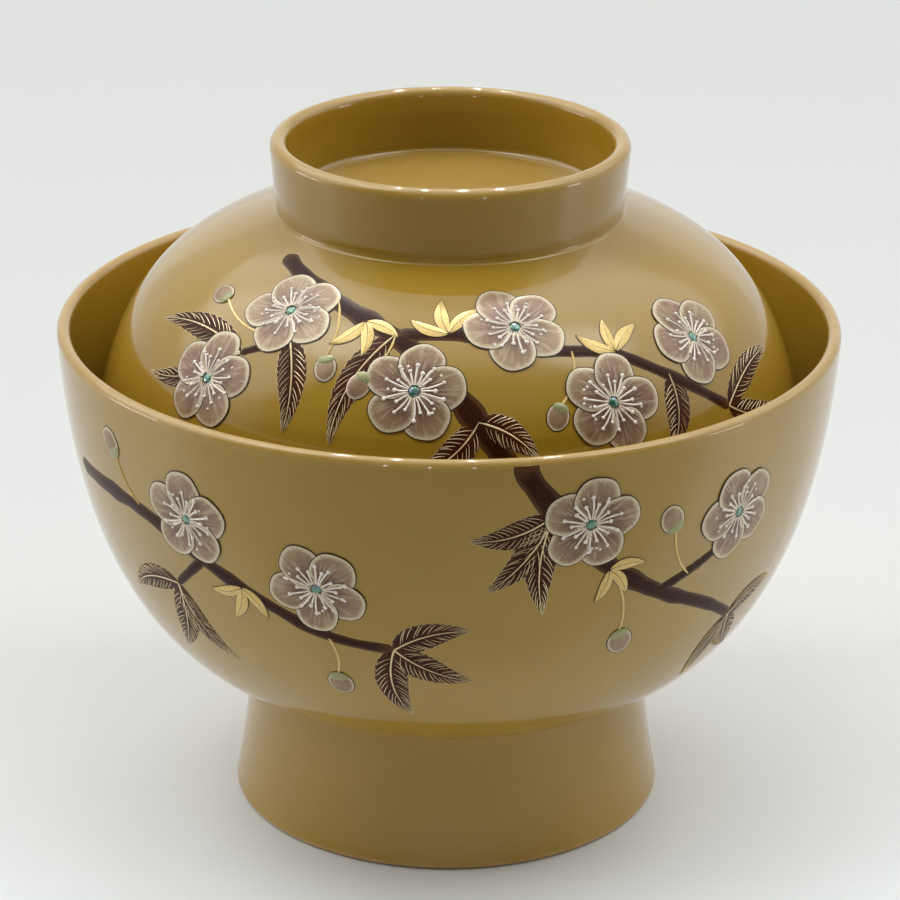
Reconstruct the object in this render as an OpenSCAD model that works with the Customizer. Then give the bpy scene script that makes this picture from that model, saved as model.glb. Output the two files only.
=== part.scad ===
// Footed soup bowl with a drop-in lid, turned in wood and lacquered, with small shell inlays.
// The bowl stands on z = 0 with its axis on Z, and its decorated side faces -Y.
// The lid is drawn where it rests, with its edge inside the bowl's mouth.

/* [Bowl] */
// Outer diameter at the rim
rim_d = 125; // [118:1:132]
// Height of the rim's crest above the table
bowl_h = 81.4; // [77:0.2:86]
// Thickness of the wall at its rounded lip
rim_t = 2.2; // [1.8:0.1:2.6]
// Outward lean of the wall at the rim, in degrees
rim_lean = 3.4; // [2.4:0.2:4.4]
// Height of the inside floor above the foot's crease
floor_rise = 1.8; // [1.4:0.1:2.6]
// Thickness of the floor over the hollow under the foot
floor_t = 6; // [5:0.2:8]
// Diameter of the flat part of the inside floor
bowl_floor_d = 31; // [24:1:36]

/* [Foot] */
// Diameter of the foot where it stands
foot_d = 70.4; // [68:0.2:74]
// Diameter of the foot where the body springs from it
neck_d = 64.5; // [62:0.5:67]
// Height of the foot up to that crease
foot_h = 22.2; // [20:0.2:24]
// Thickness of the foot's wall at its base
foot_t = 3.2; // [2.8:0.1:3.8]
// How far inside the crease the top of the hollow under the foot stays
foot_top_t = 2.2; // [1.8:0.1:2.6]
// Fillet at the top of the hollow
recess_fillet = 3; // [2:0.5:4]
// Rounding of the foot's two bottom edges
foot_edge_r = 0.8; // [0.7:0.05:1]
// How far the flare of the foot bows inwards
foot_bow = 0.35; // [0:0.05:0.6]

/* [Lid] */
// Depth of the lid's edge below the rim, where it rests
seat_depth = 20.9; // [18:0.2:24]
// Running gap between the lid's edge and the bowl's wall
seat_gap = 0.3; // [0.2:0.05:0.6]
// Thickness of the lid at its rounded edge
edge_t = 2.2; // [1.8:0.1:2.6]
// Inward lean of the dome just above the edge, in degrees
edge_lean = 6.8; // [5:0.2:9]
// Height of the dome from its edge to the foot of the ring
dome_h = 38.6; // [36:0.2:42]
// Downward slope of the dome where it leaves the ring, in degrees
shoulder_slope = 21.8; // [19:0.2:25]
// Thickness of the lid at its middle
crown_t = 4; // [3.4:0.1:4.6]

/* [Ring handle] */
// Outer diameter of the ring at its lip
ring_d = 56.8; // [53:0.2:60]
// Height of the ring's crest above the dome's shoulder
ring_h = 11.7; // [10:0.1:13]
// Thickness of the ring's wall
ring_t = 2.7; // [2.2:0.1:3.2]
// Outward flare of the ring, in degrees
ring_lean = 4.9; // [3:0.2:7]
// Depth of the floor inside the ring below its crest
ring_depth = 10.2; // [9:0.1:10.6]
// Fillet where the floor meets the ring
ring_fillet_in = 0.9; // [0.6:0.1:1.6]
// Fillet where the ring meets the dome
ring_fillet_out = 0.7; // [0.4:0.1:1]

/* [Lacquer] */
// Thickness of the lacquer on the wood
coat_t = 0.5; // [0.4:0.05:0.6]
// Space for the thin ground layer between wood and lacquer
ground_t = 0.1; // [0.08:0.01:0.12]

/* [Shell inlays] */
// Diameter of a shell inlay
shell_d = 1.6; // [1.2:0.1:2]
// Thickness of a shell inlay
shell_t = 0.25; // [0.2:0.01:0.3]
// Clearance between an inlay and the side of its pocket
shell_gap = 0.04; // [0.03:0.01:0.06]

/* [Hidden] */
$fn = 144;

// Straight pieces in each long curve, and in each rounded edge
curve_steps = 26;
edge_steps = 8;
inlay_fn = 48;
// Halvings that find a height on a curve
halvings = 30;
// Overrun of a cut past the face that it opens
cut_over = 0.2;

// Handles of the curves, as shares of the height or radius that each curve spans
belly_low_share = 0.668;
belly_high_share = 0.535;
floor_run_share = 0.707;
wall_run_share = 0.543;
dome_low_share = 0.759;
dome_high_share = 0.528;
vault_low_share = 0.733;
vault_high_share = 0.673;

// Rise of the body where it springs from the foot, in degrees
belly_rise = 18.7;
// Turn that brings azimuth 0 to the decorated front
front_turn = -90;

// Azimuth from the front, in degrees, and height as a share of the bowl's or the dome's height
bowl_inlay_shares = [[-40, 0.81], [-19, 0.715], [20, 0.86], [46, 0.8]];
lid_inlay_shares = [[-46, 0.59], [-36, 0.85], [-6, 0.665], [14, 0.85], [29, 0.59], [52, 0.72]];

// Plane geometry in [radius, height], with directions given as angles from the radius axis
function unit(v) = v / norm(v);
function ray(angle) = [cos(angle), sin(angle)];
function bezier(c, t) =
    pow(1 - t, 3) * c[0] + 3 * pow(1 - t, 2) * t * c[1] + 3 * (1 - t) * t * t * c[2] + pow(t, 3) * c[3];
function trace(c) = [for (i = [0:curve_steps]) bezier(c, i / curve_steps)];
function arc(centre, r, from, to) =
    [for (i = [0:edge_steps]) centre + r * ray(from + (to - from) * i / edge_steps)];
// Side of a step that faces out of a solid whose outline runs anticlockwise
function outward(from, to) = let (d = unit(to - from)) [d.y, -d.x];
// Corner p between points a and b, replaced by an arc of radius r
function corner(a, p, b, r) =
    let (
        u = unit(a - p),
        v = unit(b - p),
        half = acos(u * v) / 2,
        centre = p + unit(u + v) * r / sin(half),
        from = p + u * r / tan(half) - centre,
        to = p + v * r / tan(half) - centre,
        start = atan2(from.y, from.x),
        turn = (atan2(to.y, to.x) - start + 540) % 360 - 180
    )
    arc(centre, r, start, start + turn);
// The outline moved inwards by t all round; its two ends stay on the axis
function inset(path, t) =
    let (last = len(path) - 1, n = [for (i = [0:last - 1]) outward(path[i], path[i + 1])])
    [for (i = [0:last])
        let (
            before = i == 0 ? [-n[0].x, n[0].y] : n[i - 1],
            after = i == last ? [-n[last - 1].x, n[last - 1].y] : n[i]
        )
        path[i] - t * (before + after) / (1 + before * after)];
// Where a rising curve reaches a height, found by halving
function reach(c, z, low = 0, high = 1, left = halvings) =
    let (middle = (low + high) / 2)
    left == 0 ? middle
    : bezier(c, middle).y < z ? reach(c, z, middle, high, left - 1)
    : reach(c, z, low, middle, left - 1);
function facing(c, t) = outward(bezier(c, t - 0.001), bezier(c, t + 0.001));

// Foot: base edge, bowed flare and the hollow beneath
bowl_floor_h = foot_h + floor_rise;
recess_depth = bowl_floor_h - floor_t;
foot_r = foot_d / 2;
neck = [neck_d / 2, foot_h];
foot_middle = ([foot_r, 0] + neck) / 2 - [foot_bow, 0];
flare = [for (i = [1:edge_steps - 1])
    let (t = i / edge_steps)
    pow(1 - t, 2) * [foot_r, 0] + 2 * (1 - t) * t * (2 * foot_middle - ([foot_r, 0] + neck) / 2)
        + t * t * neck];
recess_low = [foot_r - foot_t, 0];
recess_high = [neck.x - foot_top_t, recess_depth];

// Bowl: rounded lip, outer belly and inner wall, which run parallel at the rim
lip_r = rim_t / 2;
lip = [rim_d / 2 - lip_r, bowl_h - lip_r];
lip_out = lip + lip_r * ray(-rim_lean);
lip_in = lip - lip_r * ray(-rim_lean);
up_wall = ray(90 - rim_lean);
body_span = lip_out.y - foot_h;
belly = [
    neck,
    neck + belly_low_share * (lip_out.x - neck.x) * ray(belly_rise),
    lip_out - belly_high_share * body_span * up_wall,
    lip_out
];
floor_edge = [bowl_floor_d / 2, bowl_floor_h];
inside = [
    floor_edge,
    floor_edge + [floor_run_share * (lip_in.x - floor_edge.x), 0],
    lip_in - wall_run_share * (lip_in.y - bowl_floor_h) * up_wall,
    lip_in
];
inside_trace = trace(inside);
bowl_outline = concat(
    [[0, recess_depth]],
    corner([0, recess_depth], recess_high, recess_low, recess_fillet),
    corner(recess_high, recess_low, [foot_r, 0], foot_edge_r),
    corner(recess_low, [foot_r, 0], flare[0], foot_edge_r),
    flare,
    trace(belly),
    [for (i = [1:edge_steps - 1]) lip + lip_r * ray(-rim_lean + i * 180 / edge_steps)],
    [for (i = [curve_steps:-1:0]) inside_trace[i]],
    [[0, bowl_floor_h]]
);

// Lid: its edge rests against the inner wall at the seat's depth
seat_share = reach(inside, bowl_h - seat_depth);
edge_r = edge_t / 2;
edge = bezier(inside, seat_share) - (edge_r + seat_gap) * facing(inside, seat_share);
edge_out = edge + edge_r * ray(edge_lean);
edge_in = edge - edge_r * ray(edge_lean);
up_dome = ray(90 + edge_lean);

// Ring: two leaning walls joined by a rounded lip, on the dome's shoulder
ring_lip_r = ring_t / 2;
shoulder_h = edge_out.y + dome_h;
ring_lip = [ring_d / 2 - ring_lip_r, shoulder_h + ring_h - ring_lip_r];
ring_out = ring_lip + ring_lip_r * ray(-ring_lean);
ring_in = ring_lip - ring_lip_r * ray(-ring_lean);
shoulder = [ring_out.x - (ring_out.y - shoulder_h) * tan(ring_lean), shoulder_h];
ring_floor_h = shoulder_h + ring_h - ring_depth;
ring_floor = [ring_in.x - (ring_in.y - ring_floor_h) * tan(ring_lean), ring_floor_h];
dome = [
    edge_out,
    edge_out + dome_low_share * dome_h * up_dome,
    shoulder + dome_high_share * (edge_out.x - shoulder.x) * ray(-shoulder_slope),
    shoulder
];
dome_trace = trace(dome);
apex = [0, ring_floor_h - crown_t];
vault = [
    edge_in,
    edge_in + vault_low_share * (apex.y - edge_in.y) * up_dome,
    [vault_high_share * edge_in.x, apex.y],
    apex
];
vault_trace = trace(vault);
lid_outline = concat(
    [for (i = [curve_steps:-1:0]) vault_trace[i]],
    [for (i = [1:edge_steps - 1]) edge + edge_r * ray(180 + edge_lean + i * 180 / edge_steps)],
    [for (i = [0:curve_steps - 1]) dome_trace[i]],
    corner(dome_trace[curve_steps - 1], shoulder, ring_out, ring_fillet_out),
    arc(ring_lip, ring_lip_r, -ring_lean, 180 - ring_lean),
    corner(ring_in, ring_floor, [0, ring_floor_h], ring_fillet_in),
    [[0, ring_floor_h]]
);

module turned(outline) {
    rotate_extrude() polygon(outline);
}

// Sets its children on a curve's outer side, with their +Z along the surface's normal
module on_surface(curve, azimuth, height) {
    t = reach(curve, height);
    n = facing(curve, t);
    point = bezier(curve, t);
    rotate([0, 0, azimuth + front_turn])
        translate([point.x, 0, point.y])
            rotate([0, atan2(n.x, n.y), 0])
                children();
}

// One inlay at each place, flush with the surface
module inlays(curve, base, span, places) {
    for (place = places)
        on_surface(curve, place[0], base + span * place[1])
            translate([0, 0, -shell_t])
                cylinder(h = shell_t, d = shell_d, $fn = inlay_fn);
}

// The pockets that the inlays lie in
module pockets(curve, base, span, places) {
    for (place = places)
        on_surface(curve, place[0], base + span * place[1])
            translate([0, 0, -shell_t])
                cylinder(h = shell_t + cut_over, d = shell_d + 2 * shell_gap, $fn = inlay_fn);
}

module bowl_core() {
    color("burlywood") turned(inset(bowl_outline, coat_t + ground_t));
}

module bowl_lacquer() {
    color("#ae8f5a") difference() {
        turned(bowl_outline);
        turned(inset(bowl_outline, coat_t));
        pockets(belly, 0, bowl_h, bowl_inlay_shares);
    }
}

module bowl_shell_inlays() {
    color("mediumaquamarine") inlays(belly, 0, bowl_h, bowl_inlay_shares);
}

module lid_core() {
    color("burlywood") turned(inset(lid_outline, coat_t + ground_t));
}

module lid_lacquer() {
    color("#ae8f5a") difference() {
        turned(lid_outline);
        turned(inset(lid_outline, coat_t));
        pockets(dome, edge_out.y, dome_h, lid_inlay_shares);
    }
}

module lid_shell_inlays() {
    color("mediumaquamarine") inlays(dome, edge_out.y, dome_h, lid_inlay_shares);
}

bowl_core();
bowl_lacquer();
bowl_shell_inlays();
lid_core();
lid_lacquer();
lid_shell_inlays();
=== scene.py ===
"""Dresses the lidded soup bowl: smooth lacquer, raised powder decoration, shell, studio and camera.

Lengths are in metres in Blender and in millimetres where a name says mm. Azimuths are measured from the
decorated front, -Y, and are positive towards +X.
"""

import math

import bmesh
import bpy
import numpy as np
from mathutils import Matrix, Vector


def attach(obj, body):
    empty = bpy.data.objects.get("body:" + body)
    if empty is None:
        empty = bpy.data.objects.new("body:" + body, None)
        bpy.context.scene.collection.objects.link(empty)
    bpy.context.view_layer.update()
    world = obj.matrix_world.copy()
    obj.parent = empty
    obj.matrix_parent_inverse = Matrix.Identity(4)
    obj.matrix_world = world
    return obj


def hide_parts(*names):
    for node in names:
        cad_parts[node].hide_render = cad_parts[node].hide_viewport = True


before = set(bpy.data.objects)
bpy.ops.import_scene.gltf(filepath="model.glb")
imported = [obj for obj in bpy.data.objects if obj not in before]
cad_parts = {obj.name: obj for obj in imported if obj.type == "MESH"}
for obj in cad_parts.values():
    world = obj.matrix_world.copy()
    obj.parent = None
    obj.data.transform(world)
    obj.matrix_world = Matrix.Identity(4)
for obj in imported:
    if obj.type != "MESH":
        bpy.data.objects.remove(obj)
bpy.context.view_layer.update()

MM = 0.001
MICRON = 0.001 * MM
# Vertices closer than this are one point of a profile
SAME_PLACE = 0.003 * MM
# How the turned pieces are drawn
AZIMUTH_STEPS = 192
PROFILE_STEPS = 3
CREASE = math.radians(40)
STRAIGHT_RATIO = 3.0
# Edges that bend more than this stay sharp
SHARP_EDGE = math.radians(38)
# How deep the raised decoration is rooted in the lacquer
ROOT = 0.12 * MM
# Lips start to be paled, partly as worn lacquer and partly as a painted highlight, at the first bend, in
# radians per mm, and are fully paled at the second
LIP_BEND = (0.45, 1.0)
# How much paler the last flat part is made
FLAT_PALING = 0.55
# A step of a path is level if it rises by less than this share of its length
LEVEL_RISE = 0.1
# Size of the shell inlays, and how they are domed
INLAY_R = 0.8 * MM
INLAY_SHARES = np.array([0.3, 0.65, 0.9, 1.0])
INLAY_LIFTS = np.array([0.33, 0.30, 0.22, 0.14]) * MM
# Turn of the first blossom of a body, and of each one from the one before, in degrees
FIRST_TURN, NEXT_TURN = 18, 31

draw = np.random.default_rng(41)


# Profiles of the turned pieces, read from the CAD meshes of model.glb

def mesh_arrays(node):
    """Vertices and edges of a CAD node."""
    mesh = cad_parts[node].data
    points = np.zeros(len(mesh.vertices) * 3, np.float32)
    edges = np.zeros(len(mesh.edges) * 2, np.int32)
    mesh.vertices.foreach_get("co", points)
    mesh.edges.foreach_get("vertices", edges)
    return points.reshape(-1, 3).astype(float), edges.reshape(-1, 2)


def distinct(points):
    """The points with repeats left out."""
    kept = []
    for point in points:
        if all(np.hypot(*(point - other)) > SAME_PLACE for other in kept):
            kept.append(point)
    return np.array(kept)


def ring_links(section, rings, edges):
    """Which rings of vertices of a turned mesh are joined by its faces."""
    apart = np.hypot(section[:, None, 0] - rings[:, 0], section[:, None, 1] - rings[:, 1])
    ring = np.where(apart.min(1) < SAME_PLACE, apart.argmin(1), -1)
    ends = ring[edges]
    ends = ends[(ends >= 0).all(1) & (ends[:, 0] != ends[:, 1])]
    links = [set() for _ in rings]
    for a, b in np.unique(np.sort(ends, axis=1), axis=0):
        links[a].add(b)
        links[b].add(a)
    return links


def walk(start, links):
    """The chain of rings that begins at one end."""
    chain = [start]
    while True:
        ahead = links[chain[-1]] - set(chain[-2:])
        if not ahead:
            return chain
        chain.append(ahead.pop())


def outlines(node):
    """Outer and inner outline of a coat as [radius, height], from the lower end on the axis to the upper."""
    points, edges = mesh_arrays(node)
    section = np.stack([np.hypot(points[:, 0], points[:, 1]), points[:, 2]], 1)
    rings = distinct(section[(abs(points[:, 1]) < SAME_PLACE) & (points[:, 0] > SAME_PLACE)])
    links = ring_links(section, rings, edges)
    found = []
    for start in [i for i, near in enumerate(links) if len(near) == 1]:
        path = rings[walk(start, links)]
        if path[0, 1] < path[-1, 1]:
            found.append(np.vstack([[0, path[0, 1]], path, [0, path[-1, 1]]]))
    return sorted(found, key=lambda path: -path[:, 0].max())


def directions(path):
    """Unit directions and lengths of a path's steps."""
    steps = np.diff(path, axis=0)
    lengths = np.hypot(steps[:, 0], steps[:, 1])
    return steps / lengths[:, None], lengths


def tangents(path):
    """Tangent at each point, kept along any step that is much longer than its neighbour."""
    ways, lengths = directions(path)
    found = [ways[0]]
    for i in range(1, len(ways)):
        before, after = lengths[i - 1], lengths[i]
        if before > STRAIGHT_RATIO * after:
            found.append(ways[i - 1])
        elif after > STRAIGHT_RATIO * before:
            found.append(ways[i])
        else:
            found.append((ways[i - 1] * after + ways[i] * before) / (before + after))
    return np.array(found + [ways[-1]]), lengths


def rounded(path):
    """The path with a smooth curve through its points, between its creases."""
    ways, _ = directions(path)
    turn = np.arccos(np.clip((ways[:-1] * ways[1:]).sum(1), -1, 1))
    stops = [0, *(np.flatnonzero(turn > CREASE) + 1), len(path) - 1]
    t = np.linspace(0, 1, PROFILE_STEPS + 1)[:-1, None]
    pieces = []
    for first, last in zip(stops[:-1], stops[1:]):
        part = path[first:last + 1]
        slope, lengths = tangents(part)
        for i, size in enumerate(lengths):
            pieces.append(
                (2 * t**3 - 3 * t**2 + 1) * part[i] + (t**3 - 2 * t**2 + t) * slope[i] * size
                + (3 * t**2 - 2 * t**3) * part[i + 1] + (t**3 - t**2) * slope[i + 1] * size
            )
    return np.vstack([*pieces, path[-1:]])


def lathe(path, first):
    """Points and faces of a closed path turned about the axis, numbered from first."""
    turn = np.arange(AZIMUTH_STEPS) * 2 * math.pi / AZIMUTH_STEPS
    rings = path[1:-1]
    around = np.stack([
        np.outer(rings[:, 0], np.cos(turn)),
        np.outer(rings[:, 0], np.sin(turn)),
        np.repeat(rings[:, 1:], AZIMUTH_STEPS, 1),
    ], -1).reshape(-1, 3)
    low, high = first + len(around), first + len(around) + 1
    faces = []
    for i in range(AZIMUTH_STEPS):
        j = (i + 1) % AZIMUTH_STEPS
        faces.append((low, first + j, first + i))
        for k in range(len(rings) - 1):
            a = first + k * AZIMUTH_STEPS
            b = a + AZIMUTH_STEPS
            faces.append((a + i, a + j, b + j, b + i))
        faces.append((high, b + i, b + j))
    return np.vstack([around, [[0, 0, path[0, 1]], [0, 0, path[-1, 1]]]]), faces


class Wall:
    """The outer side of a turned wall, addressed by azimuth and by length up its profile."""

    def __init__(self, profile):
        self.profile = profile
        ways, lengths = directions(profile)
        self.lengths = np.concatenate([[0], np.cumsum(lengths)])
        slope = np.gradient(profile, self.lengths, axis=0)
        self.normals = np.stack([slope[:, 1], -slope[:, 0]], 1)
        self.normals /= np.hypot(*self.normals.T)[:, None]

    def along(self, height):
        """Length up the profile at which the wall has this height."""
        return np.interp(height, self.profile[:, 1], self.lengths)

    def radius(self, length):
        return np.interp(length, self.lengths, self.profile[:, 0])

    def place(self, azimuth, length, lift):
        """Points in space that stand out from the wall by lift."""
        r, z, across, up = (
            np.interp(length, self.lengths, values)
            for values in (*self.profile.T, *self.normals.T)
        )
        r = r + lift * across
        return np.stack([r * np.sin(azimuth), -r * np.cos(azimuth), z + lift * up], -1)


def wall_of(outline, above_waist):
    """The wall of a bowl above its foot, or of a lid below its ring."""
    rising = outline[outline[:, 1].argmin():outline[:, 1].argmax() + 1]
    waist = rising[:, 0].argmin()
    return Wall(rising[waist:] if above_waist else rising[:waist + 1])


# Meshes

def new_piece(name, body, points, faces, material, fields=None):
    """A smooth shaded mesh that rides on a body, with a value at each point for every named field."""
    mesh = bpy.data.meshes.new(name)
    mesh.from_pydata(np.asarray(points).tolist(), [], faces)
    for field, values in (fields or {}).items():
        values = np.asarray(values, np.float32)
        kind, key = ("FLOAT", "value") if values.ndim == 1 else ("FLOAT_VECTOR", "vector")
        mesh.attributes.new(field, kind, "POINT").data.foreach_set(key, values.ravel())
    whole = bmesh.new()
    whole.from_mesh(mesh)
    bmesh.ops.recalc_face_normals(whole, faces=whole.faces)
    whole.to_mesh(mesh)
    whole.free()
    mesh.shade_smooth()
    mesh.set_sharp_from_angle(angle=SHARP_EDGE)
    mesh.materials.append(material)
    piece = bpy.data.objects.new(name, mesh)
    bpy.context.scene.collection.objects.link(piece)
    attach(piece, body)
    return piece


class Relief:
    """Raised decoration of one kind on one wall: many small closed forms in one mesh.

    Each point carries rim, 0 in the middle of its form and 1 at its border, tint, one value for a form, and
    fan, which in a petal is the angle and the distance in mm from the middle of the blossom, and the tint.
    """

    def __init__(self, wall):
        self.wall = wall
        self.points, self.faces, self.rim, self.tint, self.fan = [], [], [], [], []

    def count(self):
        return sum(len(points) for points in self.points)

    def add(self, points, faces, rim, tint, fan=None):
        self.points.append(points)
        self.faces += faces
        self.rim.append(rim)
        self.tint.append(np.full(len(points), tint))
        self.fan.append(np.zeros((len(points), 3)) if fan is None else fan)

    def ribbon(self, azimuth, length, half_width, edge, crest, tint, columns):
        """A strip along a route on the wall, highest along its middle."""
        run = np.gradient(azimuth) * self.wall.radius(length)
        rise = np.gradient(length)
        size = np.hypot(run, rise)
        across = np.linspace(-1, 1, columns)
        offset = half_width[:, None] * across
        side_run, side_rise = -rise / size, run / size
        a = azimuth[:, None] + offset * side_run[:, None] / self.wall.radius(length)[:, None]
        s = length[:, None] + offset * side_rise[:, None]
        lift = np.broadcast_to(edge + (crest - edge) * (1 - across**2), a.shape)
        rows, base = len(azimuth), self.count()
        half = rows * columns
        top = self.wall.place(a, s, lift).reshape(-1, 3)
        under = self.wall.place(a, s, -ROOT).reshape(-1, 3)

        def at(i, j, below=0):
            return base + below * half + i * columns + j

        faces = []
        for i in range(rows - 1):
            for j in range(columns - 1):
                faces.append((at(i, j), at(i + 1, j), at(i + 1, j + 1), at(i, j + 1)))
                faces.append((at(i, j, 1), at(i, j + 1, 1), at(i + 1, j + 1, 1), at(i + 1, j, 1)))
            for j in (0, columns - 1):
                faces.append((at(i, j), at(i + 1, j), at(i + 1, j, 1), at(i, j, 1)))
        for i in (0, rows - 1):
            for j in range(columns - 1):
                faces.append((at(i, j), at(i, j + 1), at(i, j + 1, 1), at(i, j, 1)))
        ends = abs(np.linspace(-1, 1, rows))[:, None] ** 6
        rim = np.maximum(abs(across), ends * np.ones(columns)).ravel()
        self.add(np.vstack([top, under]), faces, np.tile(rim, 2), tint)

    def patch(self, azimuth, length, outline_x, outline_y, shares, lifts, tint=0.5, away=None):
        """A rounded form about a place: its outline shrunk by each share and lifted by each lift.

        A petal also gives how far away its own middle lies from the middle of its blossom.
        """
        sectors, base = len(outline_x), self.count()
        x, y = np.outer(shares, outline_x), np.outer(shares, outline_y)
        s = length + y
        a = azimuth + x / self.wall.radius(s)
        lifts = np.asarray(lifts)
        grid = lifts[:, None] * np.ones(sectors) if lifts.ndim == 1 else lifts
        centre = self.wall.place(np.array([azimuth]), np.array([length]), grid[0].mean())
        sunk = self.wall.place(np.array([azimuth]), np.array([length]), -ROOT)
        top = np.vstack([centre, self.wall.place(a, s, grid).reshape(-1, 3)])
        under = np.vstack([sunk, self.wall.place(a[-1:], s[-1:], -ROOT).reshape(-1, 3)])
        bottom = base + len(top)
        faces = []
        for j in range(sectors):
            k = (j + 1) % sectors
            faces.append((base, base + 1 + j, base + 1 + k))
            for i in range(len(shares) - 1):
                a0, b0 = base + 1 + i * sectors, base + 1 + (i + 1) * sectors
                faces.append((a0 + j, b0 + j, b0 + k, a0 + k))
            faces.append((b0 + j, bottom + 1 + j, bottom + 1 + k, b0 + k))
            faces.append((bottom, bottom + 1 + k, bottom + 1 + j))
        rim = np.concatenate([[shares[0]], np.repeat(shares, sectors), np.ones(1 + sectors)])
        fan = None if away is None else self.fan_of(x, y, away, tint)
        self.add(np.vstack([top, under]), faces, rim, tint, fan)

    @staticmethod
    def fan_of(x, y, away, tint):
        """The fan of each point of a petal, whose middle lies away from the middle of the blossom."""
        flat_x = np.concatenate([[0], x.ravel(), [0], x[-1]]) + away[0]
        flat_y = np.concatenate([[0], y.ravel(), [0], y[-1]]) + away[1]
        middle = np.array(away) / np.hypot(*away)
        forward = flat_x * middle[0] + flat_y * middle[1]
        sideways = flat_y * middle[0] - flat_x * middle[1]
        distance_mm = np.hypot(flat_x, flat_y) / MM
        return np.stack([np.arctan2(sideways, forward), distance_mm, np.full(len(flat_x), tint)], 1)

    def finish(self, name, body, slot, material):
        fields = {
            "rim": np.concatenate(self.rim),
            "tint": np.concatenate(self.tint),
            "fan": np.vstack(self.fan),
        }
        return new_piece(name, body, np.vstack(self.points), self.faces, material, fields)


def wear_and_highlight(path):
    """How far the lacquer is made pale: on tight convex lips, partly as worn lacquer and partly as a painted
    highlight, and a little on the last flat part.
    """
    ways, lengths = directions(path)
    before, after = ways[:-1], ways[1:]
    turn = np.arctan2(before[:, 0] * after[:, 1] - before[:, 1] * after[:, 0], (before * after).sum(1))
    bend = turn / (lengths[:-1] + lengths[1:]) * 2 * MM
    start, full = LIP_BEND
    lips = np.clip((np.concatenate([[0], bend, [0]]) - start) / (full - start), 0, 1)
    soft = np.convolve(lips, np.full(3, 1 / 3), "same")
    level = np.append(abs(ways[:, 1]), 0) < LEVEL_RISE
    last_flat = np.cumprod(level[::-1])[::-1]
    return np.maximum(soft, FLAT_PALING * last_flat)


def turned_piece(node, body, material):
    """A coat turned from its own outlines with smooth curves, in place of the faceted node."""
    outer, inner = outlines(node)
    outer = rounded(outer)
    points, faces = lathe(outer, 0)
    more_points, more_faces = lathe(inner, len(points))
    # The pale lips: partly worn lacquer, partly a painted highlight
    worn_and_lit = wear_and_highlight(outer)
    fields = {"wear_and_highlight": np.concatenate([
        np.repeat(worn_and_lit[1:-1], AZIMUTH_STEPS), worn_and_lit[[0, -1]], np.zeros(len(more_points))
    ])}
    points, faces = np.vstack([points, more_points]), faces + more_faces
    piece = new_piece(f"{node}_turned", body, points, faces, material, fields)
    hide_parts(node)
    return outer


# Materials

class Look:
    """A material and short ways to wire its nodes."""

    def __init__(self, name, **settings):
        self.material = bpy.data.materials.new(name)
        self.material.use_nodes = True
        self.tree = self.material.node_tree
        self.shader = self.tree.nodes["Principled BSDF"]
        for socket, value in settings.items():
            self.shader.inputs[socket.replace("_", " ")].default_value = value

    def node(self, kind, values=None, links=None, **options):
        made = self.tree.nodes.new(kind)
        for option, value in options.items():
            setattr(made, option, value)
        for socket, value in (values or {}).items():
            made.inputs[socket].default_value = value
        for socket, source in (links or {}).items():
            self.tree.links.new(source, made.inputs[socket])
        return made

    def place(self):
        return self.node("ShaderNodeTexCoord").outputs["Object"]

    def noise(self, size_mm, detail=3.0, roughness=0.55):
        """Noise whose features are about this wide."""
        values = {"Scale": 1 / (size_mm * MM), "Detail": detail, "Roughness": roughness}
        return self.node("ShaderNodeTexNoise", values, {"Vector": self.place()}).outputs["Fac"]

    def field(self, name):
        return self.node("ShaderNodeAttribute", attribute_name=name).outputs["Fac"]

    def ranged(self, source, low, high, to_low=0.0, to_high=1.0, smooth=False):
        values = {"From Min": low, "From Max": high, "To Min": to_low, "To Max": to_high}
        kind = "SMOOTHSTEP" if smooth else "LINEAR"
        made = self.node("ShaderNodeMapRange", values, {"Value": source}, interpolation_type=kind)
        return made.outputs["Result"]

    def maths(self, operation, a, b):
        made = self.node("ShaderNodeMath", operation=operation)
        for socket, value in ((0, a), (1, b)):
            if isinstance(value, (int, float)):
                made.inputs[socket].default_value = value
            else:
                self.tree.links.new(value, made.inputs[socket])
        return made.outputs[0]

    def mix(self, share, a, b):
        """Colour a, going over to colour b as share goes from 0 to 1."""
        made = self.node("ShaderNodeMix", data_type="RGBA")
        self.tree.links.new(share, made.inputs[0])
        for socket, value in ((6, a), (7, b)):
            if isinstance(value, tuple):
                made.inputs[socket].default_value = value
            else:
                self.tree.links.new(value, made.inputs[socket])
        return made.outputs[2]

    def bump(self, height, distance_mm):
        values = {"Distance": distance_mm * MM, "Strength": 1.0}
        return self.node("ShaderNodeBump", values, {"Height": height}).outputs["Normal"]

    def set(self, **sources):
        for socket, source in sources.items():
            self.tree.links.new(source, self.shader.inputs[socket.replace("_", " ")])


def srgb(red, green, blue):
    """A colour written as 0 to 255, as a shader takes it."""
    values = [v / 255 for v in (red, green, blue)]
    return (*[v / 12.92 if v <= 0.04045 else ((v + 0.055) / 1.055) ** 2.4 for v in values], 1.0)


def lacquer_look():
    """Ochre lacquer with a polished top coat and pale lips, partly worn and partly a painted highlight; hand
    polish bends its reflections a little.
    """
    coat = {"Coat_Weight": 1.0, "Coat_Roughness": 0.05}
    look = Look("ochre_lacquer", Roughness=0.42, Specular_IOR_Level=0.12, **coat)
    clouds = look.ranged(look.noise(22, 2), 0.3, 0.7, smooth=True)
    body = look.mix(clouds, srgb(161, 125, 32), srgb(166, 130, 38))
    patches = look.ranged(look.noise(3.5, 3), 0.3, 0.7, 0.25, 0.45)
    # Paler lips in patches: partly worn lacquer, partly a painted highlight
    worn_and_lit = look.maths("MULTIPLY", look.field("wear_and_highlight"), patches)
    polish = look.bump(look.noise(14, 1), 0.008)
    look.set(Base_Color=look.mix(worn_and_lit, body, srgb(202, 168, 116)), Normal=polish, Coat_Normal=polish)
    return look.material


# Distances from a blossom's middle over which its red brown fades, and how its streaks are drawn out
FLUSH_MM = (2.4, 6.8)
FAN_STRETCH = (11.0, 0.3, 40.0)


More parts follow.
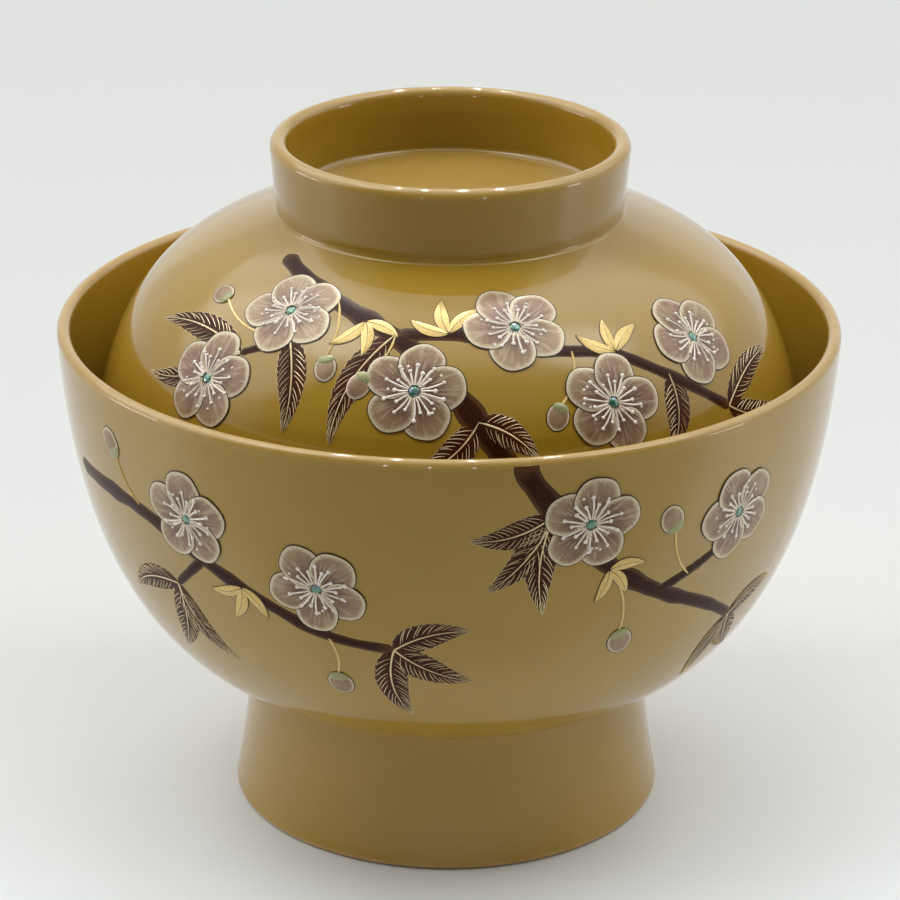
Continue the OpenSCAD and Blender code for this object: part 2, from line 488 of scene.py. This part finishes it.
def petal_look(name, fanned):
    """Silver and brown powder, pale at a border and, where fanned, red brown towards the middle."""
    look = Look(name, Metallic=0.15, Roughness=0.36, Coat_Weight=0.1, Coat_Roughness=0.1)
    grains = look.noise(0.15, 2, 0.7)
    drift = look.ranged(look.noise(2.4, 3), 0.35, 0.7)
    body = look.mix(look.field("tint"), srgb(148, 120, 86), srgb(126, 88, 64))
    body = look.mix(drift, body, srgb(162, 134, 100))
    border = look.maths("ADD", look.field("rim"), look.ranged(grains, 0.2, 0.8, -0.16, 0.16))
    pale = look.ranged(border, 0.76, 1.0, smooth=True)
    if fanned:
        fan = look.node("ShaderNodeAttribute", attribute_name="fan").outputs["Vector"]
        parts = look.node("ShaderNodeSeparateXYZ", links={0: fan})
        stretched = look.node("ShaderNodeVectorMath", links={0: fan}, operation="MULTIPLY")
        stretched.inputs[1].default_value = FAN_STRETCH
        values = {"Scale": 1.0, "Detail": 2.0, "Roughness": 0.6}
        streaks = look.node("ShaderNodeTexNoise", values, {"Vector": stretched.outputs[0]}).outputs["Fac"]
        inner = look.ranged(parts.outputs["Y"], *FLUSH_MM, 1.0, 0.0, smooth=True)
        body = look.mix(look.maths("MULTIPLY", inner, 0.85), body, srgb(92, 50, 36))
        streaky = look.maths("MULTIPLY", look.ranged(streaks, 0.5, 0.64, smooth=True), 0.4)
        body = look.mix(streaky, body, srgb(196, 176, 148))
    look.set(
        Base_Color=look.mix(pale, body, srgb(216, 200, 168)),
        Normal=look.bump(grains, 0.012),
    )
    return look.material


def outline_look():
    """The fine dark line drawn round petals and buds."""
    look = Look("outline_lacquer", Roughness=0.25)
    look.set(Base_Color=look.mix(look.noise(0.8), srgb(44, 26, 14), srgb(66, 44, 24)))
    return look.material


def silver_look():
    """Raised silver lines, slightly warm."""
    look = Look("silver_line", Roughness=0.35, Coat_Weight=0.2)
    look.set(Base_Color=look.mix(look.noise(0.5), srgb(236, 220, 204), srgb(252, 244, 232)))
    return look.material


def branch_look():
    """Dark brown lacquer with brown powder, a little paler along its edges."""
    look = Look("branch_lacquer", Roughness=0.3, IOR=1.2)
    grains = look.noise(0.22, 2, 0.7)
    body = look.mix(look.ranged(grains, 0.46, 0.7), srgb(44, 16, 6), srgb(78, 42, 20))
    edge = look.ranged(look.field("rim"), 0.55, 0.95, smooth=True)
    look.set(
        Base_Color=look.mix(look.maths("MULTIPLY", edge, 0.5), body, srgb(112, 76, 40)),
        Normal=look.bump(look.noise(0.5, 3), 0.02),
    )
    return look.material


def leaf_look():
    """Dark brown leaves, warmer towards their borders."""
    look = Look("leaf_lacquer", Roughness=0.3, IOR=1.2)
    body = look.mix(look.ranged(look.noise(1.4, 3), 0.35, 0.65), srgb(52, 18, 8), srgb(78, 38, 18))
    edge = look.ranged(look.field("rim"), 0.5, 1.0, smooth=True)
    look.set(
        Base_Color=look.mix(look.maths("MULTIPLY", edge, 0.25), body, srgb(112, 80, 50)),
        Normal=look.bump(look.noise(0.3, 2), 0.01),
    )
    return look.material


def gold_look(name, dark, bright):
    """Sprinkled gold powder, satin and a little uneven."""
    look = Look(name, Metallic=0.3, Roughness=0.36, Coat_Weight=0.2)
    grains = look.noise(0.2, 2, 0.7)
    look.set(
        Base_Color=look.mix(look.ranged(grains, 0.35, 0.65), dark, bright),
        Normal=look.bump(grains, 0.015),
    )
    return look.material


def green_look():
    """Grey green lacquer of the calyxes, powdered with gold."""
    look = Look("green_lacquer", Metallic=0.15, Roughness=0.35, Coat_Weight=0.3)
    grains = look.noise(0.2, 2, 0.7)
    look.set(Base_Color=look.mix(look.ranged(grains, 0.4, 0.7), srgb(132, 132, 84), srgb(168, 164, 112)))
    return look.material


def shell_look():
    """Green shell that turns blue and rose in patches."""
    look = Look("shell", Roughness=0.18, Coat_Weight=1.0, Coat_Roughness=0.04, Metallic=0.3)
    body = look.mix(look.ranged(look.noise(0.9, 2), 0.35, 0.6), srgb(44, 106, 84), srgb(92, 142, 116))
    body = look.mix(look.ranged(look.noise(0.6, 2), 0.56, 0.7), body, srgb(150, 150, 190))
    look.set(Base_Color=body, Normal=look.bump(look.noise(0.4, 2), 0.03))
    return look.material


def wood_look():
    """Turned hardwood: growth rings across the axis and fine pores."""
    look = Look("turned_wood", Roughness=0.55)
    place = look.place()
    bent = look.node("ShaderNodeVectorMath", links={0: place}, operation="MULTIPLY")
    bent.inputs[1].default_value = (1.0, 0.35, 1.0)
    values = {"Scale": 1 / (2.6 * MM), "Distortion": 1.6, "Detail": 2.0}
    rings = look.node("ShaderNodeTexWave", values, {"Vector": bent.outputs[0]}, wave_type="RINGS")
    pores = look.noise(0.35, 2, 0.6)
    body = look.mix(rings.outputs["Fac"], srgb(196, 164, 120), srgb(166, 130, 88))
    look.set(
        Base_Color=look.mix(look.ranged(pores, 0.6, 0.75), body, srgb(126, 94, 62)),
        Normal=look.bump(pores, 0.05),
    )
    return look.material


LOOKS = {
    "lacquer": lacquer_look(),
    "petals": petal_look("petal_powder", fanned=True),
    "outlines": outline_look(),
    "stamens": silver_look(),
    "branches": branch_look(),
    "leaves": leaf_look(),
    "veins": gold_look("pale_gold_powder", srgb(206, 182, 132), srgb(236, 216, 168)),
    "sprigs": gold_look("gold_powder", srgb(194, 160, 84), srgb(226, 196, 122)),
    "buds": petal_look("bud_powder", fanned=False),
    "calyxes": green_look(),
    "shell": shell_look(),
    "wood": wood_look(),
}
SLOTS = {
    "petals": "petal_powder",
    "outlines": "dark_lacquer",
    "stamens": "silver_line",
    "branches": "dark_lacquer",
    "leaves": "dark_lacquer",
    "veins": "gold_powder",
    "sprigs": "gold_powder",
    "buds": "petal_powder",
    "calyxes": "green_lacquer",
}


# Motifs of the decoration

# How high each form of the decoration stands above the lacquer, at its border and at its crest, in mm
STANDS = {
    "line": (0.02, 0.03),
    "branch": (0.05, 0.12),
    "leaf": (0.05, 0.09),
    "midrib": (0.09, 0.14),
    "stroke": (0.09, 0.13),
    "stalk": (0.09, 0.17),
    "bract_line": (0.1, 0.11),
    "bract": (0.12, 0.2),
    "bract_vein": (0.18, 0.22),
    "stamen": (0.28, 0.35),
    "anther": (0.29, 0.44),
    "pollen": (0.25, 0.36),
}


class Decoration:
    """The raised decoration on one wall. Places are (azimuth in degrees, height in mm)."""

    BLOSSOM_R = 7.6 * MM
    PETAL_SHARES = np.array([0.2, 0.45, 0.7, 0.88, 1.0])
    PETAL_LIFTS = np.array([0.21, 0.21, 0.22, 0.235, 0.19]) * MM
    PETAL_TILT = 0.045 * MM
    PETAL_LINE_LIFT = 0.165 * MM
    LINE_MM = 0.16
    LINE_SHARES = np.array([0.5, 1.0])
    STAMENS = 20
    STAMEN_START = 0.95 * MM
    STAMEN_REACH = (0.42, 0.6)
    STAMEN_WIDTH = np.array([0.08, 0.12, 0.15, 0.12]) * MM
    DOT_SHARES = np.array([0.3, 0.7, 1.0])
    POLLEN_DOTS = 7
    POLLEN_R = 0.23 * MM
    BRANCH_LINE_MM = 0.14
    LEAF_STEPS = 66
    LEAF_LINE = 0.07 * MM
    TEETH = 13
    STROKES = 13
    STROKE_WIDTH = np.array([0.03, 0.05, 0.06, 0.055, 0.035]) * MM
    LEAF_BREADTH = 1.35
    STALK_HALF = 0.17 * MM
    BUD_SHARES = np.array([0.25, 0.55, 0.85, 1.0])
    BUD_LIFTS = np.array([0.30, 0.27, 0.19, 0.10]) * MM
    BUD_LINE_LIFTS = np.array([0.07, 0.05]) * MM
    CALYX_LIFT = 0.06 * MM

    def __init__(self, wall):
        self.wall = wall
        self.kinds = {kind: Relief(wall) for kind in SLOTS}

    def at(self, place):
        """Azimuth in radians and length up the wall of a place."""
        return math.radians(place[0]), float(self.wall.along(place[1] * MM))

    def strip(self, kind, line, half_width, stand, columns=3, tint=0.5):
        """A ribbon of one kind that stands as high as the forms with this name."""
        edge, crest = (height * MM for height in STANDS[stand])
        self.kinds[kind].ribbon(*line, half_width, edge, crest, tint, columns)

    def route(self, stops, spacing=0.7 * MM, rounding=2):
        """Azimuths and lengths at even steps along a line through places, with its corners cut."""
        line = np.array([self.at(stop) for stop in stops])
        for _ in range(rounding):
            near, far = line[:-1] * 0.75 + line[1:] * 0.25, line[:-1] * 0.25 + line[1:] * 0.75
            line = np.vstack([line[:1], np.stack([near, far], 1).reshape(-1, 2)[1:-1], line[-1:]])
        middle = (line[:-1] + line[1:]) / 2
        steps = np.diff(line, axis=0) * np.stack([self.wall.radius(middle[:, 1]), np.ones(len(middle))], 1)
        travelled = np.concatenate([[0], np.cumsum(np.hypot(*steps.T))])
        count = max(4, round(travelled[-1] / spacing))
        even = np.linspace(0, travelled[-1], count)
        return np.interp(even, travelled, line[:, 0]), np.interp(even, travelled, line[:, 1])

    def curve(self, start, end, bend, count=12):
        """A bowed line from start to end; bend is how far it bows to the left, as a share of its length."""
        (a0, s0), (a1, s1) = start, end
        radius = self.wall.radius((s0 + s1) / 2)
        run, rise = (a1 - a0) * radius, s1 - s0
        t = np.linspace(0, 1, count)
        bow = 4 * t * (1 - t) * bend
        return a0 + (run * t - rise * bow) / radius, s0 + rise * t + run * bow

    def petal(self, place, angle, tint):
        """One round petal and the dark line round it. Each petal lies over the next one on its right."""
        azimuth, length = place
        turn = np.linspace(0, 2 * math.pi, 30, endpoint=False)
        reach = 0.45 * self.BLOSSOM_R * draw.uniform(0.97, 1.04)
        away = self.BLOSSOM_R - reach
        wide_waves, fine_waves = (np.sin(waves * turn + draw.uniform(0, 6)) for waves in (2, 5))
        uneven = 1 + 0.035 * wide_waves + 0.02 * fine_waves
        radius = reach * uneven * (1 + 0.06 * np.cos(turn))
        tilt = self.PETAL_TILT * np.sin(turn)
        outwards = np.array([math.cos(angle), math.sin(angle)])
        sideways = np.array([-math.sin(angle), math.cos(angle)])
        middle = away * outwards
        centre_length = length + middle[1]
        centre_azimuth = azimuth + middle[0] / self.wall.radius(centre_length)

        def outline(grow):
            ring = np.cos(turn)[:, None] * outwards + np.sin(turn)[:, None] * sideways
            return ((radius + grow)[:, None] * ring).T

        centre = centre_azimuth, centre_length
        shares = self.PETAL_SHARES
        lifts = self.PETAL_LIFTS[:, None] + shares[:, None] * tilt
        self.kinds["petals"].patch(*centre, *outline(0), shares, lifts, tint, middle)
        shares = self.LINE_SHARES
        lifts = self.PETAL_LINE_LIFT + shares[:, None] * tilt
        self.kinds["outlines"].patch(*centre, *outline(self.LINE_MM * MM), shares, lifts, tint)

    def dot(self, place, radius, stand):
        """A small dome of silver."""
        low, high = (height * MM for height in STANDS[stand])
        turn = np.linspace(0, 2 * math.pi, 10, endpoint=False)
        x, y = radius * np.cos(turn), radius * np.sin(turn)
        lifts = [high, low + 0.75 * (high - low), low]
        self.kinds["stamens"].patch(*place, x, y, self.DOT_SHARES, lifts)

    def beside(self, place, distance, angle):
        """The place at a distance and an angle from another."""
        length = place[1] + distance * math.sin(angle)
        return place[0] + distance * math.cos(angle) / self.wall.radius(length), length

    def blossom(self, centre, turn_deg):
        """Five petals, with pale stamens round a shell centre."""
        place = self.at(centre)
        for k in range(5):
            self.petal(place, math.radians(turn_deg + 72 * k), draw.uniform(0, 1))
        for k in range(self.STAMENS):
            angle = 2 * math.pi * (k + draw.uniform(-0.22, 0.22)) / self.STAMENS
            reach = self.BLOSSOM_R * self.STAMEN_REACH[k % 2] * draw.uniform(0.9, 1.06)
            start, end = self.beside(place, self.STAMEN_START, angle), self.beside(place, reach, angle)
            line = self.curve(start, end, draw.uniform(-0.05, 0.05), len(self.STAMEN_WIDTH))
            self.strip("stamens", line, self.STAMEN_WIDTH, "stamen")
            self.dot(end, draw.uniform(0.28, 0.35) * MM, "anther")
        for _ in range(self.POLLEN_DOTS):
            angle = draw.uniform(0, 2 * math.pi)
            spot = self.beside(place, self.BLOSSOM_R * draw.uniform(0.5, 0.68), angle)
            self.dot(spot, self.POLLEN_R, "pollen")

    def branch(self, stops, wide_mm, narrow_mm, cut=False):
        """An angular branch that thins and swells at its bends; cut if it comes over the rim."""
        line = self.route(stops)
        t = np.linspace(0, 1, len(line[0]))
        width = wide_mm + (narrow_mm - wide_mm) * t
        for knot in np.linspace(0, 1, len(stops))[1:-1]:
            width = width * (1 + 0.22 * np.exp(-((t - knot) / 0.035) ** 2))
        width = width * (1 + 0.05 * np.sin(t * 31 + wide_mm) + 0.04 * np.sin(t * 67))
        if not cut:
            width[:2] *= 0.3, 0.8
        width[-1] *= 0.35
        self.strip("outlines", line, (width / 2 + self.BRANCH_LINE_MM) * MM, "line")
        self.strip("branches", line, width / 2 * MM, "branch", columns=7)

    def leaf(self, start, tip, half_mm, bend):
        """A pointed leaf with a toothed border, a gold midrib and gold strokes that run out to it."""
        line = self.curve(self.at(start), self.at(tip), bend, self.LEAF_STEPS)
        t = np.linspace(0, 1, self.LEAF_STEPS)
        shape = np.sin(math.pi * t**0.75) ** 0.8 * (1 - 0.22 * t) + 0.02
        smooth = half_mm * self.LEAF_BREADTH * MM * shape
        width = smooth * (1 - 0.14 * (self.TEETH * t % 1))
        self.strip("leaves", line, width, "leaf", columns=7, tint=draw.uniform(0, 1))
        self.strip("veins", line, width + self.LEAF_LINE, "line")
        self.strip("veins", line, np.linspace(0.15, 0.06, self.LEAF_STEPS) * MM, "midrib")
        a, s = line
        run, rise = np.gradient(a) * self.wall.radius(s), np.gradient(s)
        size = np.hypot(run, rise)
        along, up = run / size, rise / size

        def point(share, out):
            """A place beside the midrib: share of the way to the tip, out as a share of the half width."""
            values = (along, up, a, s, smooth)
            here_along, here_up, here_a, here_s, half = (np.interp(share, t, value) for value in values)
            length = here_s + out * half * here_along
            return here_a - out * half * here_up / self.wall.radius(length), length

        for side in (-1, 1):
            for share in np.linspace(0.12, 0.87, self.STROKES):
                foot = share + draw.uniform(-0.012, 0.012)
                top = min(foot + draw.uniform(0.11, 0.15), 0.99)
                near, far = draw.uniform(0.14, 0.32) * side, draw.uniform(0.8, 0.96) * side
                stroke = self.curve(point(foot, near), point(top, far), 0.05 * side, len(self.STROKE_WIDTH))
                self.strip("veins", stroke, self.STROKE_WIDTH, "stroke")

    def leaves(self, root, *tips):
        """Leaves that spread from one root. Each tip comes with its leaf's half width in mm and its bend."""
        for tip, half_mm, bend in tips:
            self.leaf(root, tip, half_mm, bend)

    def bract(self, start, angle, size_mm):
        """One small pointed gold leaf."""
        line = self.curve(start, self.beside(start, size_mm * MM, angle), 0.09)
        t = np.linspace(0, 1, len(line[0]))
        width = 0.15 * size_mm * MM * (np.sin(math.pi * t**0.85) ** 0.9 + 0.03)
        self.strip("outlines", line, width + 0.1 * MM, "bract_line")
        self.strip("sprigs", line, width, "bract", columns=5)
        self.strip("outlines", line, np.linspace(0.1, 0.03, len(t)) * MM, "bract_vein")

    def sprig(self, centre, heading_deg, size_mm=6.4):
        """Three gold bracts that spread from one point."""
        place = self.at(centre)
        for spread in (-48, 4, 62):
            self.bract(place, math.radians(heading_deg + spread), size_mm * draw.uniform(0.9, 1.08))

    def bud(self, root, centre, size_mm=2.5):
        """A round bud in a green calyx, on a gold stalk from its root."""
        start, place = self.at(root), self.at(centre)
        radius = self.wall.radius(place[1])
        angle = math.atan2(place[1] - start[1], (place[0] - start[0]) * radius)
        stalk = self.curve(start, self.beside(place, -size_mm * 0.9 * MM, angle), 0.1)
        self.strip("sprigs", stalk, np.full(len(stalk[0]), self.STALK_HALF), "stalk")
        turn = np.linspace(0, 2 * math.pi, 26, endpoint=False)

        def oval(long_mm, wide_mm):
            x, y = long_mm * MM * np.cos(turn), wide_mm * MM * np.sin(turn)
            return x * math.cos(angle) - y * math.sin(angle), x * math.sin(angle) + y * math.cos(angle)

        wide_mm = size_mm * 0.8
        line = oval(size_mm + self.LINE_MM, wide_mm + self.LINE_MM)
        self.kinds["outlines"].patch(*place, *line, self.LINE_SHARES, self.BUD_LINE_LIFTS)
        shares, lifts = self.BUD_SHARES, self.BUD_LIFTS
        self.kinds["buds"].patch(*place, *oval(size_mm, wide_mm), shares, lifts, draw.uniform(0.4, 1))
        cup = self.beside(place, -size_mm * 0.62 * MM, angle)
        cup_outline = oval(size_mm * 0.42, size_mm * 0.62)
        self.kinds["calyxes"].patch(*cup, *cup_outline, shares, lifts + self.CALYX_LIFT)

    def finish(self, body):
        for kind, relief in self.kinds.items():
            if relief.points:
                relief.finish(f"{body}_{kind}", body, SLOTS[kind], LOOKS[kind])


def inlay_places(node):
    """Centres of the separate inlays of a node."""
    points, edges = mesh_arrays(node)
    spots = np.round(points / MICRON).astype(int)
    spot_of = np.unique(spots, axis=0, return_inverse=True)[1].ravel()
    ends = spot_of[edges].T
    label = np.arange(spot_of.max() + 1)
    changed = True
    while changed:
        before = label.copy()
        low = label[ends].min(0)
        for end in ends:
            np.minimum.at(label, end, low)
        changed = (before != label).any()
    owner = label[spot_of]
    return [points[owner == k].mean(0) for k in np.unique(owner)]


def inlay_discs(node, body, wall):
    """Slightly domed discs of shell in place of a node's flat ones. Gives the places of their centres."""
    relief = Relief(wall)
    turn = np.linspace(0, 2 * math.pi, 28, endpoint=False)
    x, y = INLAY_R * np.cos(turn), INLAY_R * np.sin(turn)
    centres = []
    for centre in inlay_places(node):
        azimuth = math.atan2(centre[0], -centre[1])
        spots = wall.place(np.full(len(wall.lengths), azimuth), wall.lengths, 0.0)
        nearest = np.linalg.norm(spots - centre, axis=1).argmin()
        relief.patch(azimuth, wall.lengths[nearest], x, y, INLAY_SHARES, INLAY_LIFTS, draw.uniform(0, 1))
        centres.append((math.degrees(azimuth), wall.profile[nearest, 1] / MM))
    piece = relief.finish(f"{node}_domed", body, "shell", LOOKS["shell"])
    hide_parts(node)
    return centres


def decorate_bowl(wall):
    art = Decoration(wall)
    art.branch([(-70, 64), (-50.5, 64.5), (-38, 59), (-28.5, 54.5), (-18, 49.5), (-8, 48.5)], 2.6, 1.6)
    art.branch([(-38, 59), (-45, 52.5)], 1.6, 1.0)
    art.leaves((-45, 52.5), ((-51, 38.5), 2.0, 0.1), ((-59, 47), 1.9, -0.1), ((-37, 40.5), 2.0, -0.12))
    art.leaves((-8, 48.5), ((3.5, 52.5), 2.1, 0.1), ((4, 42.5), 2.2, -0.08), ((-6, 34.5), 2.1, -0.1))
    from_rim = [(10.5, 80.5), (10.5, 79), (14.5, 73), (21.5, 63.5), (32, 55.5), (43, 50.5), (52, 45)]
    art.branch(from_rim, 3.6, 1.4, cut=True)
    art.branch([(32, 55.5), (39.5, 58.5), (46, 62)], 1.7, 1.2)
    art.leaves((14.5, 72), ((3, 68.5), 2.0, 0.1), ((5.5, 59.5), 2.1, 0.08), ((14, 55), 2.1, -0.08))
    art.leaves((52, 45), ((63, 48), 1.9, 0.1), ((60, 36), 2.0, -0.1), ((50, 33), 1.9, -0.1))
    art.sprig((-31.5, 56), -115)
    art.sprig((23.5, 61.5), -60)
    art.bud((-50.5, 64.5), (-56, 73))
    art.bud((-18, 49.5), (-17.5, 40.5))
    art.bud((23.5, 61.5), (27.5, 47.5))
    art.bud((37.5, 57.5), (33, 68))
    return art


def decorate_lid(wall):
    art = Decoration(wall)
    art.branch([(-52, 98), (-26.5, 95.5), (-11, 93), (-1.5, 89), (5, 83), (11, 75)], 2.4, 3.4)
    art.branch([(-11, 93), (4.5, 93.5), (19, 91), (32, 90), (42, 85.5), (53.5, 78.5)], 2.2, 1.4)
    art.branch([(-26.5, 95.5), (-32.5, 91), (-41.5, 88)], 1.5, 1.0)
    art.leaves((-41.5, 88), ((-66.5, 87.5), 1.9, -0.1), ((-61.5, 81), 1.9, 0.1))
    art.leaves((-32.5, 91), ((-28, 79.5), 2.0, 0.1))
    art.leaves((5, 83), ((14.5, 77.5), 1.9, 0.1), ((-6, 75.5), 1.9, 0.1))
    art.leaves((-11, 93), ((-19.5, 79), 2.0, -0.1))
    art.leaves((53.5, 78.5), ((73, 82), 1.8, 0.1), ((70, 74.5), 1.9, -0.1))
    art.leaves((42, 85.5), ((38, 75), 2.0, 0.1))
    art.sprig((0, 93.3), 95)
    art.sprig((33, 89.7), 80)
    art.sprig((-18, 94), -85)
    art.bud((24, 90.6), (18.5, 83), 2.1)
    art.bud((-26.5, 95.5), (-23, 88.5), 2.1)
    art.bud((-32.5, 91), (-56, 93), 2.1)
    art.bud((-11, 93), (-16, 87), 2.2)
    return art


# Studio

def look_at(position, target):
    return (Vector(target) - Vector(position)).to_track_quat("-Z", "Y")


def area_light(name, position, target, width, height, radiance):
    """A soft panel whose surface has this radiance."""
    data = bpy.data.lights.new(name, "AREA")
    data.shape, data.size, data.size_y = "RECTANGLE", width, height
    data.energy = radiance * math.pi * width * height
    lamp = bpy.data.objects.new(name, data)
    lamp.location = position
    lamp.rotation_mode = "QUATERNION"
    lamp.rotation_quaternion = look_at(position, target)
    bpy.context.scene.collection.objects.link(lamp)
    return lamp


def heading(azimuth_deg, elevation_deg):
    """Unit direction at an azimuth from the decorated front and an elevation."""
    azimuth, elevation = math.radians(azimuth_deg), math.radians(elevation_deg)
    level = math.cos(elevation)
    return (math.sin(azimuth) * level, -math.cos(azimuth) * level, math.sin(elevation))


# Soft parts of the studio's light: azimuth, elevation, radiance, and the angles within which it is full and
# beyond which it is gone
STUDIO_LIGHT = {
    "backdrop": (180, 0, 0.67, 95, 118),
    "ceiling": (-162, 73, 0.58, 12, 52),
    "front_ceiling": (15, 68, 0.35, 15, 42),
    "left_bounce": (-102, 45, 1.3, 22, 32),
    "left_window": (-97, 66, 2.7, 4, 15),
    "left_low": (-92, 20, 0.3, 10, 30),
    "right_bounce": (115, 45, 0.95, 22, 32),
    "right_window": (92, 60, 2.6, 5, 17),
    "right_low": (97, 24, 0.25, 9, 28),
}
# Parts with straight edges: radiance, then the caps, as above, that they fill together
EDGED_LIGHT = {
    "left_screen": (0.9, ((-148, 44, 6, 36), (-64, 0, 89, 91.5), (0, 90, 57.5, 60))),
    "back_paper": (0.2, ((178, 0, 27, 29.5), (0, -90, 118, 122))),
}
SKY_COLOUR = (0.98, 1.0, 0.99, 1.0)
# Where the floor's colour, with its painted light and shade, changes, as X or Y in metres from the middle of
# the foot
LEFT_TO_RIGHT = (-0.1, 0.12)
NEAR_TO_BESIDE = (-0.04, 0.045)
BESIDE_TO_FAR = (0.06, 0.42)
NEAR_TO_EDGE = (-0.05, -0.09)
EDGE_TO_FRONT = (-0.09, -0.28)
FLOOR_REACH = 8.0
FLOOR_DROP = 0.05 * MM
# Small lamps: azimuths, and the distance and the middle of all lamps
ROOM_LAMPS = (-17, -5, 7, 21)
BACK_GLINTS = (-162.7, -172.2, 176.1, 163.7)
LAMP_DISTANCE = 1.6
LAMP_AIM = Vector((0, 0, 0.08))
# The photograph's camera, found by fitting the turned outlines to it
CAMERA_PLACE = (0, -0.5625, 0.2857)
CAMERA_DOWN = math.radians(22.03)
CAMERA_ROLL = math.radians(0.4)
CAMERA_LENS_MM = 149.6
CAMERA_SHIFT = 0.0019


def make_world():
    """A studio that is bright behind, above and on both sides, and dark in front, as the photograph's is."""
    world = bpy.data.worlds.new("studio")
    world.use_nodes = True
    tree = world.node_tree
    nodes, links = tree.nodes, tree.links
    background = nodes["Background"]
    place = nodes.new("ShaderNodeTexCoord")

    def cap(azimuth, elevation, full, gone, radiance=1.0):
        """A round part of the sky: full within one angle of its middle and gone beyond the other."""
        closeness = nodes.new("ShaderNodeVectorMath")
        closeness.operation = "DOT_PRODUCT"
        links.new(place.outputs["Generated"], closeness.inputs[0])
        closeness.inputs[1].default_value = heading(azimuth, elevation)
        fade = nodes.new("ShaderNodeMapRange")
        fade.interpolation_type = "SMOOTHSTEP"
        low, high = math.cos(math.radians(gone)), math.cos(math.radians(full))
        for socket, value in (("From Min", low), ("From Max", high), ("To Min", 0.0), ("To Max", radiance)):
            fade.inputs[socket].default_value = value
        links.new(closeness.outputs["Value"], fade.inputs["Value"])
        return fade.outputs["Result"]

    def joined(operation, parts):
        """All the parts added up or multiplied."""
        whole = parts[0]
        for part in parts[1:]:
            both = nodes.new("ShaderNodeMath")
            both.operation = operation
            links.new(whole, both.inputs[0])
            links.new(part, both.inputs[1])
            whole = both.outputs[0]
        return whole

    parts = [
        cap(azimuth, elevation, full, gone, radiance)
        for azimuth, elevation, radiance, full, gone in STUDIO_LIGHT.values()
    ]
    for radiance, (first, *others) in EDGED_LIGHT.values():
        parts.append(joined("MULTIPLY", [cap(*first, radiance)] + [cap(*other) for other in others]))
    links.new(joined("ADD", parts), background.inputs["Strength"])
    background.inputs["Color"].default_value = SKY_COLOUR
    bpy.context.scene.world = world


def floor_look():
    """Pale matt paper with painted light and shade: lighter near the foot, where the bowl's shadow falls,
    darker on the left, where more light falls, a little darker further back, and falling off to grey in
    front, which paints the shade of a dark room.
    """
    look = Look("pale_table", Roughness=0.6)
    parts = look.node("ShaderNodeSeparateXYZ", links={0: look.place()})
    x, y = parts.outputs["X"], parts.outputs["Y"]
    rightwards = look.ranged(x, *LEFT_TO_RIGHT)
    # Painted light and shade: lighter near the foot to lighten the bowl's shadow, and darker on the left to
    # offset its stronger light
    near = look.mix(rightwards, srgb(233, 236, 238), srgb(249, 253, 255))
    beside = look.mix(rightwards, srgb(200, 200, 199), srgb(204, 203, 202))
    paper = look.mix(look.ranged(y, *NEAR_TO_BESIDE), near, beside)
    # Painted shade: a little darker further back
    paper = look.mix(look.ranged(y, *BESIDE_TO_FAR), paper, srgb(192, 192, 191))
    # Painted shade: darker in front, and grey further in front, as a dark room shades it
    paper = look.mix(look.ranged(y, *NEAR_TO_EDGE, smooth=True), paper, srgb(206, 207, 202))
    paper = look.mix(look.ranged(y, *EDGE_TO_FRONT, smooth=True), paper, srgb(138, 138, 135))
    look.set(Base_Color=paper)
    return look.material


def make_floor():
    """A pale table top, far wider than the view."""
    mesh = bpy.data.meshes.new("floor")
    sides = ((-1, -1), (1, -1), (1, 1), (-1, 1))
    corners = [(x * FLOOR_REACH, y * FLOOR_REACH, -FLOOR_DROP) for x, y in sides]
    mesh.from_pydata(corners, [], [(0, 1, 2, 3)])
    mesh.materials.append(floor_look())
    floor = bpy.data.objects.new("floor", mesh)
    bpy.context.scene.collection.objects.link(floor)


def lamp_at(name, azimuth, elevation, width, height, radiance, glint=True):
    """A lamp far off in the room. A glint only shows in the gloss."""
    position = Vector(heading(azimuth, elevation)) * LAMP_DISTANCE + LAMP_AIM
    lamp = area_light(name, position, LAMP_AIM, width, height, radiance)
    lamp.visible_diffuse = not glint


def make_lights():
    """Room lamps, which light the front and glint, small glints behind, and thin strips at the sides."""
    for k, azimuth in enumerate(ROOM_LAMPS):
        lamp_at(f"room_lamp_{k}", azimuth, 5, 0.03, 0.03, 205.0, glint=False)
    for k, azimuth in enumerate(BACK_GLINTS):
        lamp_at(f"back_glint_{k}", azimuth, 60, 0.016, 0.08, 900.0)
    lamp_at("left_strip", -98, 3, 0.6, 0.04, 40.0)
    lamp_at("right_strip", 82, 3, 0.35, 0.04, 40.0)


def make_camera():
    """The photograph's view."""
    data = bpy.data.cameras.new("camera")
    data.lens, data.sensor_width, data.shift_x = CAMERA_LENS_MM, 36.0, CAMERA_SHIFT
    data.clip_start, data.clip_end = 0.05, 30
    camera = bpy.data.objects.new("camera", data)
    turned = Matrix.Rotation(math.pi / 2 - CAMERA_DOWN, 4, "X") @ Matrix.Rotation(CAMERA_ROLL, 4, "Z")
    camera.matrix_world = Matrix.Translation(CAMERA_PLACE) @ turned
    bpy.context.scene.collection.objects.link(camera)
    bpy.context.scene.camera = camera


def paint_cores():
    for node in ("bowl_core", "lid_core"):
        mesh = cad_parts[node].data
        mesh.materials.clear()
        mesh.materials.append(LOOKS["wood"])


def main():
    bowl_wall = wall_of(turned_piece("bowl_lacquer", "bowl", LOOKS["lacquer"]), above_waist=True)
    lid_wall = wall_of(turned_piece("lid_lacquer", "lid", LOOKS["lacquer"]), above_waist=False)
    paint_cores()
    for body, wall, decorate in (("bowl", bowl_wall, decorate_bowl), ("lid", lid_wall, decorate_lid)):
        art = decorate(wall)
        for k, centre in enumerate(inlay_discs(f"{body}_shell_inlays", body, wall)):
            art.blossom(centre, FIRST_TURN + NEXT_TURN * k)
        art.finish(body)
    make_world()
    make_floor()
    make_lights()
    make_camera()
    bpy.context.scene.view_settings.view_transform = "Standard"


main()
